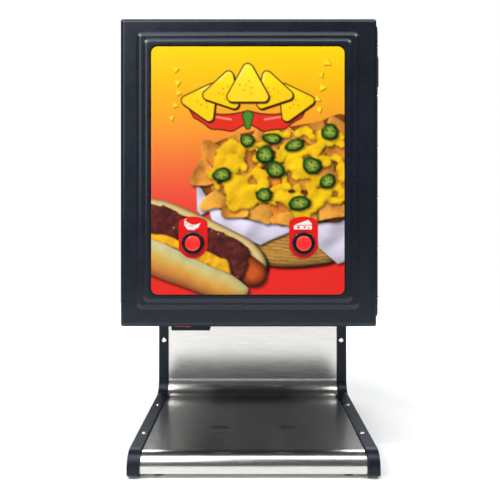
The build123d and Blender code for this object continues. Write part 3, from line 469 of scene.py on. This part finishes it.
# The chips on top of the heap: centre, size, turn, tint and slimness.
CHIPS = [
    (92, 163, 40, 1.9, 0.5, 1.0), (80, 196, 42, 0.4, 0.35, 1.0), (125, 152, 36, 0.9, 0.3, 0.9),
    (101, 232, 48, 2.75, 0.1, 0.55), (164, 141, 34, 2.6, 0.4, 0.8), (206, 138, 40, 0.2, 0.2, 0.8),
    (246, 134, 42, 1.2, 0.5, 0.9), (282, 128, 40, 2.1, 0.3, 1.0), (284, 160, 40, 0.6, 0.6, 1.0),
    (262, 196, 44, 2.9, 0.1, 0.8), (286, 205, 38, 1.0, 0.3, 1.0), (218, 206, 44, 0.3, 0.55, 0.6),
    (240, 172, 38, 1.7, 0.15, 1.0), (150, 178, 40, 2.2, 0.75, 0.8), (120, 176, 36, 0.1, 0.2, 1.0),
    (188, 200, 34, 1.4, 0.9, 0.7), (158, 206, 36, 2.3, 0.05, 1.0), (126, 214, 38, 0.8, 0.3, 1.0),
    (272, 244, 52, 2.6, 0.2, 0.7), (166, 254, 46, 3.2, 0.15, 0.45), (124, 250, 40, 0.25, 0.3, 0.5),
    (232, 250, 46, 2.9, 0.1, 0.7), (196, 246, 40, 1.65, 1.0, 0.8), (206, 262, 40, 3.1, 0.2, 0.35),
]


def nachos(art):
    heap = curve([(72, 200), (80, 168), (92, 150), (120, 138), (160, 128), (210, 122), (250, 116), (300, 112),
                  (300, 250), (262, 268), (215, 262), (160, 264), (110, 250), (84, 228)])
    art.body(polygon(art.u, art.v, heap), srgb(150, 84, 34) * np.ones(art.rgb.shape), bulge=8, soft=24,
             rough=2 * art.noise(9, 31), shadow=0.3)
    draw = np.random.default_rng(4)
    for k in range(34):
        cu, cv = draw.uniform(92, 292), draw.uniform(134, 246)
        if cu - 92 > (cv - 246) * -0.4 - 10:
            chip(art, cu, cv, draw.uniform(30, 44), draw.uniform(0, 6.28), draw.uniform(0, 0.9), 100 + 9 * k,
                 draw.uniform(0.6, 1.0))
    for k, (cu, cv, size, turn, tint, slim) in enumerate(CHIPS):
        chip(art, cu, cv, 1.16 * size, turn, tint, 500 + 9 * k, slim)


# Cheese: each pool is a list of centres with radii, and each stream a line of points.
POOLS = [
    [(103, 176, 7), (112, 160, 10), (122, 150, 9), (136, 158, 8), (126, 176, 11), (116, 186, 8),
     (140, 184, 6)],
    [(118, 204, 7), (124, 216, 13), (136, 206, 10), (142, 222, 13), (134, 236, 12), (148, 240, 8),
     (121, 232, 6), (152, 228, 7), (156, 214, 5)],
    [(168, 196, 8), (170, 206, 8), (170, 216, 7), (168, 228, 5)],
    [(162, 158, 4), (160, 172, 5), (166, 180, 4), (152, 148, 6)],
    [(196, 166, 7), (206, 158, 9), (220, 164, 11), (214, 176, 10), (226, 184, 12), (240, 192, 9),
     (252, 202, 7), (234, 158, 8), (248, 160, 7), (258, 152, 6), (222, 198, 6), (266, 176, 7)],
    [(196, 214, 4), (208, 212, 4), (222, 214, 5), (240, 212, 4), (186, 218, 5), (196, 228, 7), (206, 234, 6)],
    [(226, 250, 10), (240, 244, 11), (252, 236, 10), (262, 226, 9), (236, 258, 6), (222, 230, 7),
     (272, 216, 5), (214, 244, 6)],
    [(262, 142, 5), (272, 146, 6), (284, 136, 7), (290, 148, 6), (258, 134, 4)],
    [(286, 172, 6), (292, 186, 8), (290, 200, 6), (284, 214, 5), (292, 224, 6)],
    [(180, 132, 5), (192, 130, 6), (206, 134, 5), (224, 132, 5), (236, 130, 6), (246, 138, 5)],
]

STREAMS = [
    [(112, 160), (128, 178), (120, 200)], [(136, 206), (158, 190), (176, 196)],
    [(142, 222), (166, 232), (190, 240)], [(206, 158), (190, 176), (178, 192)],
    [(214, 176), (200, 192), (206, 212)], [(240, 192), (262, 206), (286, 214)],
    [(234, 158), (262, 146), (292, 140)], [(252, 202), (246, 222), (240, 244)],
    [(196, 228), (222, 232), (236, 246)], [(262, 226), (280, 236), (294, 232)],
    [(150, 152), (170, 148), (196, 136)], [(100, 178), (92, 196), (100, 214)],
    [(226, 184), (250, 170), (284, 170)], [(136, 236), (122, 246), (116, 240)],
]


def cheese(art):
    rough = 1.3 * art.noise(13, 41) + 0.25 * art.noise(5, 42)
    tone = 1 + 0.07 * art.noise(14, 43)
    ink = srgb(246, 194, 26) * tone[..., None]
    ink[..., 1] *= 1 + 0.05 * art.noise(18, 44)
    runs = [merge([capsule(art.u, art.v, p, q, 4.2, 3.0) for p, q in zip(line, line[1:])], 5.0)
            for line in STREAMS]
    pools = [merge([np.hypot(art.u - u, art.v - v) - 1.14 * r for u, v, r in pool], 7.0) for pool in POOLS]
    away = merge(pools + runs, 6.0) + 2.2 * art.noise(8, 45) + 0.9 * art.noise(3.4, 46)
    art.body(away, ink, bulge=1.5, soft=6.0, rough=rough, gloss=0.85, shadow=0.42, drop=1.5,
             ambient=0.66, rim=0.16)


# Pepper slices: centre, half sizes and turn.
SLICES = [
    (146, 143, 11, 10, 0.2), (184, 140, 15, 8, 0.1), (218, 150, 15, 9, -0.3), (271.6, 130, 13, 12.5, 0.0),
    (173, 164.5, 13.5, 13.5, 0.4), (189, 187.5, 14.5, 12.5, 0.5), (244.5, 181, 15, 12.5, 0.4),
    (268.5, 205, 12.5, 10.5, -0.5), (107.5, 195, 14.5, 10.5, -0.15), (171.5, 226, 12, 10.5, 0.1),
    (225.5, 238.5, 17, 11, -0.12),
]


def pepper_slices(art):
    for k, (cu, cv, ru, rv, turn) in enumerate(SLICES):
        a, b = turned(art.u, art.v, turn, cu, cv)
        angle = np.arctan2(b / rv, a / ru)
        reach = np.hypot(a / ru, b / rv) * (1 + 0.04 * np.sin(3 * angle + k) + 0.02 * np.sin(7 * angle))
        away = (reach - 1) * min(ru, rv)
        skin = srgb(34, 82, 26) * (1 + 0.25 * art.noise(4, 60 + k))[..., None]
        art.body(away, skin, bulge=3.2, soft=5, gloss=0.7, shadow=0.55, drop=2.0, ambient=0.5, rim=0.55)
        flesh = smooth(0.74, 0.64, reach)
        tone = 1 + 0.18 * art.noise(2.2, 80 + k)
        art.lay(srgb(98, 134, 40) * tone[..., None], flesh)
        lobes = np.cos(3 * (angle + 0.5 * k))
        ribs = smooth(0.9, 0.99, lobes) * smooth(0.06, 0.2, reach)
        art.lay(srgb(170, 184, 84), flesh * (1 - ribs) * smooth(0.30, 0.16, np.abs(reach - 0.16)) * 0.8)
        hollow = smooth(0.56, 0.5, reach) * smooth(0.2, 0.28, reach) * smooth(0.0, 0.5, -lobes)
        art.lay(srgb(56, 90, 24), hollow * 0.85)
        for m in range(5):
            turn_m = 1.25 * m + k
            seed = np.hypot(a / ru - 0.4 * np.cos(turn_m), b / rv - 0.4 * np.sin(turn_m))
            art.lay(srgb(214, 178, 92), smooth(0.13, 0.08, seed) * 0.8)


def hot_dog(art):
    u, v = art.u, art.v
    crumb = art.noise(1.2, 71) * 0.02
    under = curve([(-12, 236), (12, 233), (34, 239), (60, 250), (92, 264), (120, 278), (147, 292), (164, 307),
                   (174, 323), (175, 338), (160, 350), (140, 360), (60, 340), (-12, 300)])
    bread = srgb(228, 196, 128) * (1 + crumb)[..., None]
    art.body(polygon(u, v, under), bread, bulge=7, soft=12, shadow=0.75, drop=4, rim=0.5)
    end = capsule(u, v, (120, 318), (156, 346), 20, 20.5)
    a, b = turned(u, v, 0.6, 156, 346)
    tone = 1 - 0.25 * smooth(-4, -20, b) - 0.2 * smooth(4, 20, b) + 0.05 * art.noise(9, 72)
    meat = srgb(216, 92, 38) * tone[..., None]
    art.body(end, meat, bulge=13, soft=19, gloss=0.5, shadow=0.4, ambient=0.55, rim=0.35)
    top = curve([(-12, 246), (14, 242), (40, 252), (64, 265), (92, 277), (118, 288), (136, 298), (148, 310),
                 (147, 322), (146, 336), (138, 352), (128, 356), (118, 338), (96, 322), (60, 306), (20, 290),
                 (-12, 288)])
    away = polygon(u, v, top) + 1.6 * art.noise(6, 73) + 0.8 * art.noise(2.6, 74)
    lump = 2.2 * art.noise(9, 75) + 0.8 * art.noise(3.6, 76)
    sauce = srgb(92, 40, 38) * (1 + 0.2 * art.noise(7, 77) + 0.1 * art.noise(2.4, 83))[..., None]
    art.body(away, sauce, bulge=4, soft=7, rough=lump, gloss=0.8, shadow=0.5, ambient=0.66, rim=0.3)
    band = curve([(-12, 286), (20, 287), (42, 294), (66, 302), (90, 313), (106, 322), (117, 327), (122, 346),
                  (112, 346), (86, 334), (60, 322), (30, 306), (-12, 298)])
    away = polygon(u, v, band) + 1.3 * art.noise(8, 78)
    ink = srgb(244, 178, 34) * (1 + 0.05 * art.noise(6, 79))[..., None]
    art.body(away, ink, bulge=3.5, soft=6, rough=0.8 * art.noise(6, 80), gloss=0.5, shadow=0.45, rim=0.3)
    front = curve([(-14, 293), (12, 297), (40, 310), (70, 325), (98, 338), (122, 348), (138, 359), (148, 370),
                   (138, 381), (104, 384), (52, 367), (-14, 338)], 10)
    away = polygon(u, v, front)
    a, b = turned(u, v, 0.42, 40, 312)
    span = np.clip(b / 44 + 0.1 * art.noise(40, 84), 0, 1)
    stops = [0, 0.12, 0.36, 0.62, 0.84, 1.0]
    inks = [(238, 222, 166), (214, 206, 146), (214, 186, 108), (222, 158, 66), (206, 132, 64), (190, 110, 58)]
    bread = ramp(span, stops, inks)
    bread *= (1 + crumb + 0.03 * art.noise(14, 81))[..., None]
    art.body(away, bread, bulge=7, soft=22, gloss=0.1, shadow=0.55, drop=3, ambient=0.8, rim=0.2)


OUTLINE_INK = (58, 26, 18)


def emblem_chip(art, cu, cv, size, turn, fill):
    a, b = turned(art.u, art.v, turn, cu, cv)
    corners = [(0, -0.62 * size), (0.58 * size, 0.42 * size), (-0.58 * size, 0.42 * size)]
    outer = polygon(a, b, corners, 0.13 * size)
    cast = polygon(*turned(art.u - 1.6, art.v - 2.0, turn, cu, cv), corners, 0.13 * size)
    art.lay(srgb(*OUTLINE_INK), smooth(1.9, 1.3, np.minimum(cast, outer)))
    tone = 1 + 0.10 * smooth(0.3 * size, -0.5 * size, b)
    art.lay(np.clip(srgb(*fill) * tone[..., None], 0, 1), smooth(0.4, -0.4, outer))
    edge = smooth(0.5, 0.1, np.abs(outer + 2.0) - 0.5) * smooth(0, -0.3 * size, b) * (a < 0)
    art.lay(srgb(255, 244, 170), edge)


def emblem(art):
    """A made-up ornament: a fan of chips over two peppers, with loose crumbs around it."""
    u, v = art.u, art.v
    middle = PRINT_W / 2
    for side in (-1, 1):
        spine = [(middle + side * x, y) for x, y in ((3, 108), (26, 116), (52, 114), (76, 102), (94, 84))]
        widths = [8.5, 11.5, 10.5, 7, 1.2]
        for grow, ink in ((1.7, OUTLINE_INK), (0.0, (226, 52, 38))):
            links = [capsule(u, v, p, q, r + grow, s + grow)
                     for p, q, r, s in zip(spine, spine[1:], widths, widths[1:])]
            art.lay(srgb(*ink), smooth(0.4, -0.4, merge(links, 3.0)))
        shine = capsule(u, v, (middle + side * 26, 111), (middle + side * 62, 105), 1.4, 0.8)
        art.lay(srgb(255, 150, 120), smooth(0.5, -0.3, shine))
    stem = capsule(u, v, (middle, 106), (middle, 122), 7.5, 3.0)
    art.lay(srgb(30, 52, 16), smooth(1.9, 1.3, stem))
    art.lay(srgb(74, 138, 44), smooth(0.4, -0.4, stem))
    fan = [(-67, 9, 0.62, 52), (67, 9, -0.62, 52), (-36, -7, 0.32, 52), (36, -7, -0.32, 52),
           (0, -14, 0.0, 58)]
    for k, (du, dv, lean, size) in enumerate(fan):
        emblem_chip(art, middle + du, 72 + dv, size, lean, (253, 214, 40) if du == 0 else (250, 206, 22))
        for m in range(6):
            turn = 2.4 * m + k
            reach = size * (0.07 + 0.03 * m)
            spot = np.hypot(u - middle - du - reach * np.cos(turn), v - 76 - dv - reach * np.sin(turn)) - 1.3
            art.lay(srgb(226, 132, 24), smooth(0.4, -0.4, spot))
    draw = np.random.default_rng(8)
    for k in range(10):
        turn = draw.uniform(0, 6.28)
        side = -1 if k % 2 else 1
        cu, cv = middle + side * (112 + draw.uniform(-9, 9)), 26 + 9 * k + draw.uniform(-3, 3)
        size = draw.uniform(0.8, 1.3)
        corners = [(0, -5 * size), (5 * size, 3.5 * size), (-5 * size, 3 * size)]
        cast = polygon(*turned(u - 1.0, v - 1.2, turn, cu, cv), corners, 0.4)
        art.lay(srgb(150, 84, 20), smooth(0.4, -0.2, cast))
        art.lay(srgb(253, 222, 52), smooth(0.3, -0.3, polygon(*turned(u, v, turn, cu, cv), corners, 0.4)))


# --- the printed panel and the two button labels ---

INK_DENSITY = 0.64
INK_GAMMA = 2.2


def piece(name, mesh, body, material):
    """A finished mesh as a piece that rides on a body and wears the given material."""
    made = bpy.data.objects.new(name, mesh)
    bpy.context.scene.collection.objects.link(made)
    mesh.materials.append(material)
    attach(made, body)
    return made


def thinned(ink):
    """The colours of every second point of a grid, each smoothed with its neighbours."""
    ink = np.pad(ink, ((1, 1), (1, 1), (0, 0)), mode="edge")
    ink = ink[:-2] + 2 * ink[1:-1] + ink[2:]
    ink = ink[:, :-2] + 2 * ink[:, 1:-1] + ink[:, 2:]
    return np.clip(ink[::2, ::2] / 16, 0, 1)


def printed_sheet(name, low, high, pitch, outline, paint):
    """A sheet in the XZ plane from a fine grid that carries its ink. outline(x, z) is the
    signed distance to its edge, and paint(columns, rows) gives the colours, row by row
    from the top. The grid's rim is drawn onto the edge, and a wall and a back close it."""
    columns, rows = (int(round(d / pitch)) + 1 for d in ((high - low).x, (high - low).z))
    xs, zs = np.linspace(low.x, high.x, columns), np.linspace(high.z, low.z, rows)
    ink = INK_DENSITY * thinned(paint(2 * columns - 1, 2 * rows - 1)) ** INK_GAMMA
    middle_x, middle_z = np.meshgrid((xs[1:] + xs[:-1]) / 2, (zs[1:] + zs[:-1]) / 2)
    made = bmesh.new()
    shade = made.verts.layers.float_color.new("ink")
    grid = {}
    for r, c in zip(*np.where(outline(middle_x, middle_z) < 0)):
        corners = [(r, c), (r + 1, c), (r + 1, c + 1), (r, c + 1)]
        for q, p in corners:
            if (q, p) not in grid:
                grid[q, p] = made.verts.new((xs[p], low.y, zs[q]))
                grid[q, p][shade] = (*ink[q, p], 1)
        made.faces.new([grid[corner] for corner in corners])
    nudge = pitch / 20
    for vertex in made.verts:
        if vertex.is_boundary:
            for _ in range(3):
                x, z = vertex.co.x, vertex.co.z
                away = outline(x, z)
                slope = Vector((outline(x + nudge, z) - away, outline(x, z + nudge) - away)) / nudge
                vertex.co.x -= away * slope.x
                vertex.co.z -= away * slope.y
    bmesh.ops.remove_doubles(made, verts=made.verts, dist=pitch / 100)
    rim = [e for e in made.edges if e.is_boundary]
    rear = {}
    for vertex in [v for v in made.verts if v.is_boundary]:
        rear[vertex] = made.verts.new((vertex.co.x, high.y, vertex.co.z))
        rear[vertex][shade] = vertex[shade]
    for a, b in [e.verts for e in rim]:
        made.faces.new([a, b, rear[b], rear[a]])
    bmesh.ops.triangle_fill(made, use_beauty=True, normal=(0, 1, 0),
                            edges=[e for e in made.edges if e.is_boundary])
    bmesh.ops.recalc_face_normals(made, faces=made.faces)
    mesh = bpy.data.meshes.new(name)
    made.to_mesh(mesh)
    made.free()
    return piece(name, mesh, "door", printed(f"{name}_ink"))


def plate(x, z, half_x, half_z, corner):
    """Signed distance to a rounded rectangle about the origin."""
    dx, dz = abs(x) - half_x + corner, abs(z) - half_z + corner
    return np.hypot(np.maximum(dx, 0), np.maximum(dz, 0)) + np.minimum(np.maximum(dx, dz), 0) - corner


PANEL_PITCH, PANEL_CORNER = 1.2 * MM, 10 * MM
BUTTONS = {side: sum(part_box(f"button_bezel_{side}"), Vector()) / 2 for side in ("left", "right")}
RING_R = (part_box("button_bezel_left")[1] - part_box("button_bezel_left")[0]).x / 2
HOLE_R = 14.2 * MM


def front_print():
    """The printed front panel, in place of CAD's plain one."""
    middle, half = (PANEL_HIGH + PANEL_LOW) / 2, (PANEL_HIGH - PANEL_LOW) / 2

    def outline(x, z):
        away = plate(x - middle.x, z - middle.z, half.x, half.z, PANEL_CORNER)
        for button in BUTTONS.values():
            away = np.maximum(away, HOLE_R - np.hypot(x - button.x, z - button.z))
        return away

    def paint(columns, rows):
        art = Print.blank(columns, rows, PRINT_W, PRINT_H)
        for layer in (backdrop, basket, napkin, nachos, cheese, pepper_slices, hot_dog, emblem):
            layer(art)
        return art.rgb

    sheet = printed_sheet("front_print", PANEL_LOW, PANEL_HIGH, PANEL_PITCH, outline, paint)
    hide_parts("graphic_panel")


# The labels, in millimetres from the button's middle.
LABEL_W, LABEL_LOW, LABEL_HIGH = 43.6, -22.8, 40.7
LABEL_ARCH_R, LABEL_CORNER, LABEL_WAIST = 38.7, 3, 8.9
LABEL_T, LABEL_PITCH = 0.7 * MM, 0.6 * MM
LABEL_RED, LABEL_WHITE = (232, 34, 34), (250, 248, 244)


def chili_mark(u, v):
    """A small curved pepper with its stem."""
    spine = [(11.5, 11.0), (16.0, 15.6), (22.0, 16.6), (28.0, 14.6), (32.8, 9.8)]
    widths = [3.6, 4.3, 3.8, 2.4, 0.5]
    pod = merge([capsule(u, v, p, q, r, s) for p, q, r, s in zip(spine, spine[1:], widths, widths[1:])], 1.5)
    stem = np.minimum(capsule(u, v, (10.4, 8.6), (9.0, 5.6), 1.5, 0.9),
                      capsule(u, v, (9.0, 5.6), (11.0, 4.2), 0.9, 0.8))
    gap = np.abs(np.hypot(u - 10.4, v - 8.6) - 3.0) - 0.5
    shine = capsule(u, v, (15.0, 14.0), (22.0, 14.6), 0.5, 0.5)
    return np.maximum(np.minimum(pod, stem), -np.minimum(gap, shine))


def cheese_mark(u, v):
    """A wedge of cheese with three holes."""
    wedge = polygon(u, v, [(6.8, 13.2), (29.0, 5.2), (34.6, 10.8), (34.6, 19.4), (6.8, 19.4)], 0.5)
    seam = np.abs(v - 13.2) - 0.45
    places = ((14.0, 16.6, 1.9), (23.5, 16.2, 1.5), (30.0, 17.4, 1.2))
    holes = [np.hypot(u - x, v - y) - radius for x, y, radius in places]
    return np.maximum(wedge, -np.minimum.reduce([seam, *holes]))


def button_label(side, mark):
    """A thin red plate round one push button, with a picture of what it serves on top."""
    at = BUTTONS[side]
    front = PANEL_LOW.y - LABEL_T

    def outline(x, z):
        u, w = (x - at.x) / MM, (z - at.z) / MM
        arch = np.hypot(u, w - (LABEL_HIGH - LABEL_ARCH_R)) - LABEL_ARCH_R
        foot = np.where(w < LABEL_WAIST, np.hypot(u, w) + LABEL_LOW, -9.0)
        sides = np.abs(u) - LABEL_W / 2
        corner = np.hypot(np.maximum(arch + LABEL_CORNER, 0), np.maximum(sides + LABEL_CORNER, 0))
        corner -= LABEL_CORNER
        away = np.maximum(np.maximum(corner, foot), np.maximum(arch, sides))
        return np.maximum(away, RING_R / MM - 0.1 - np.hypot(u, w)) * MM

    def paint(columns, rows):
        art = Print.blank(columns, rows, LABEL_W, LABEL_HIGH - LABEL_LOW)
        art.rgb[:] = srgb(*LABEL_RED)
        art.lay(srgb(*LABEL_WHITE), smooth(0.3, -0.3, mark(art.u, art.v)))
        return art.rgb

    low = Vector((at.x - LABEL_W / 2 * MM, front, at.z + LABEL_LOW * MM))
    high = Vector((at.x + LABEL_W / 2 * MM, PANEL_LOW.y, at.z + LABEL_HIGH * MM))
    printed_sheet(f"button_label_{side}", low, high, LABEL_PITCH, outline, paint)


front_print()
button_label("left", chili_mark)
button_label("right", cheese_mark)


# --- camera, floor and light ---


def camera():
    lens = bpy.data.cameras.new("camera")
    lens.lens, lens.sensor_width = 41.76, 36.0
    lens.shift_y = -0.066
    lens.clip_end = 50
    seen = bpy.data.objects.new("camera", lens)
    seen.location = (-0.0054, -1.070, 0.394)
    seen.rotation_euler = (radians(90), 0, 0)
    bpy.context.scene.collection.objects.link(seen)
    bpy.context.scene.camera = seen


def softbox(name, place, aim, size, power):
    light = bpy.data.lights.new(name, "AREA")
    light.shape = "RECTANGLE"
    light.size, light.size_y = size
    light.energy = power
    box = bpy.data.objects.new(name, light)
    box.location = place
    box.rotation_euler = (Vector(aim) - Vector(place)).to_track_quat("-Z", "Y").to_euler()
    bpy.context.scene.collection.objects.link(box)


def floor():
    """A round pale floor that glows into plain white away from the object, but not far in front
    of it, where the glow would only show in the door."""
    made = bmesh.new()
    bmesh.ops.create_circle(made, cap_ends=True, segments=96, radius=1.7)
    mesh = bpy.data.meshes.new("floor")
    made.to_mesh(mesh)
    made.free()
    ground = bpy.data.objects.new("floor", mesh)
    bpy.context.scene.collection.objects.link(ground)
    paper = Finish("pale_floor", (0.88, 0.88, 0.88), 0.9, Emission_Color=(1, 1, 1, 1))
    paper.mottle(400, 0.02)
    away = paper.node("ShaderNodeVectorMath")
    away.operation = "LENGTH"
    paper.put(away.inputs[0], paper.place)
    along = paper.node("ShaderNodeSeparateXYZ", Vector=paper.place)
    around = paper.spread(away.outputs["Value"], 0.06, 0.5, 0.36, 0.70)
    behind = paper.spread(along.outputs["Y"], 0.1, 1.0, -0.95, -0.4)
    paper.put(paper.shader.inputs["Emission Strength"], paper.times(around, behind))
    mesh.materials.append(paper.material)


def studio():
    """A dim room that the camera sees as white, and large soft lights round the object."""
    world = bpy.data.worlds.new("studio")
    bpy.context.scene.world = world
    world.use_nodes = True
    nodes, links = world.node_tree.nodes, world.node_tree.links
    room = nodes["Background"]
    room.inputs["Color"].default_value = (0.86, 0.92, 1.0, 1)
    room.inputs["Strength"].default_value = 0.12
    white = nodes.new("ShaderNodeBackground")
    white.inputs["Color"].default_value = (1, 1, 1, 1)
    white.inputs["Strength"].default_value = 1.0
    path, mix = nodes.new("ShaderNodeLightPath"), nodes.new("ShaderNodeMixShader")
    links.new(path.outputs["Is Camera Ray"], mix.inputs["Fac"])
    links.new(room.outputs["Background"], mix.inputs[1])
    links.new(white.outputs["Background"], mix.inputs[2])
    links.new(mix.outputs["Shader"], nodes["World Output"].inputs["Surface"])

    softbox("key", (-0.9, -2.3, 2.3), (0, -0.15, 0.45), (1.2, 1.2), 15)
    softbox("corner_left", (-1.15, -1.0, 1.9), (0, -0.15, 0.5), (0.2, 0.2), 27)
    softbox("corner_right", (1.15, -1.0, 1.9), (0, -0.15, 0.5), (0.2, 0.2), 17)
    softbox("overhead", (0, -0.9, 1.9), (0, -0.1, 0.3), (2.6, 0.7), 27)
    softbox("left_panel", (-1.5, -2.3, 1.3), (0, -0.2, 0.5), (1.1, 1.6), 20)
    softbox("rear", (0, 1.8, 1.7), (0, 0, 0.2), (2.4, 1.0), 36)
    bpy.context.scene.view_settings.view_transform = "Standard"


floor()
camera()
studio()

bpy.context.view_layer.update()
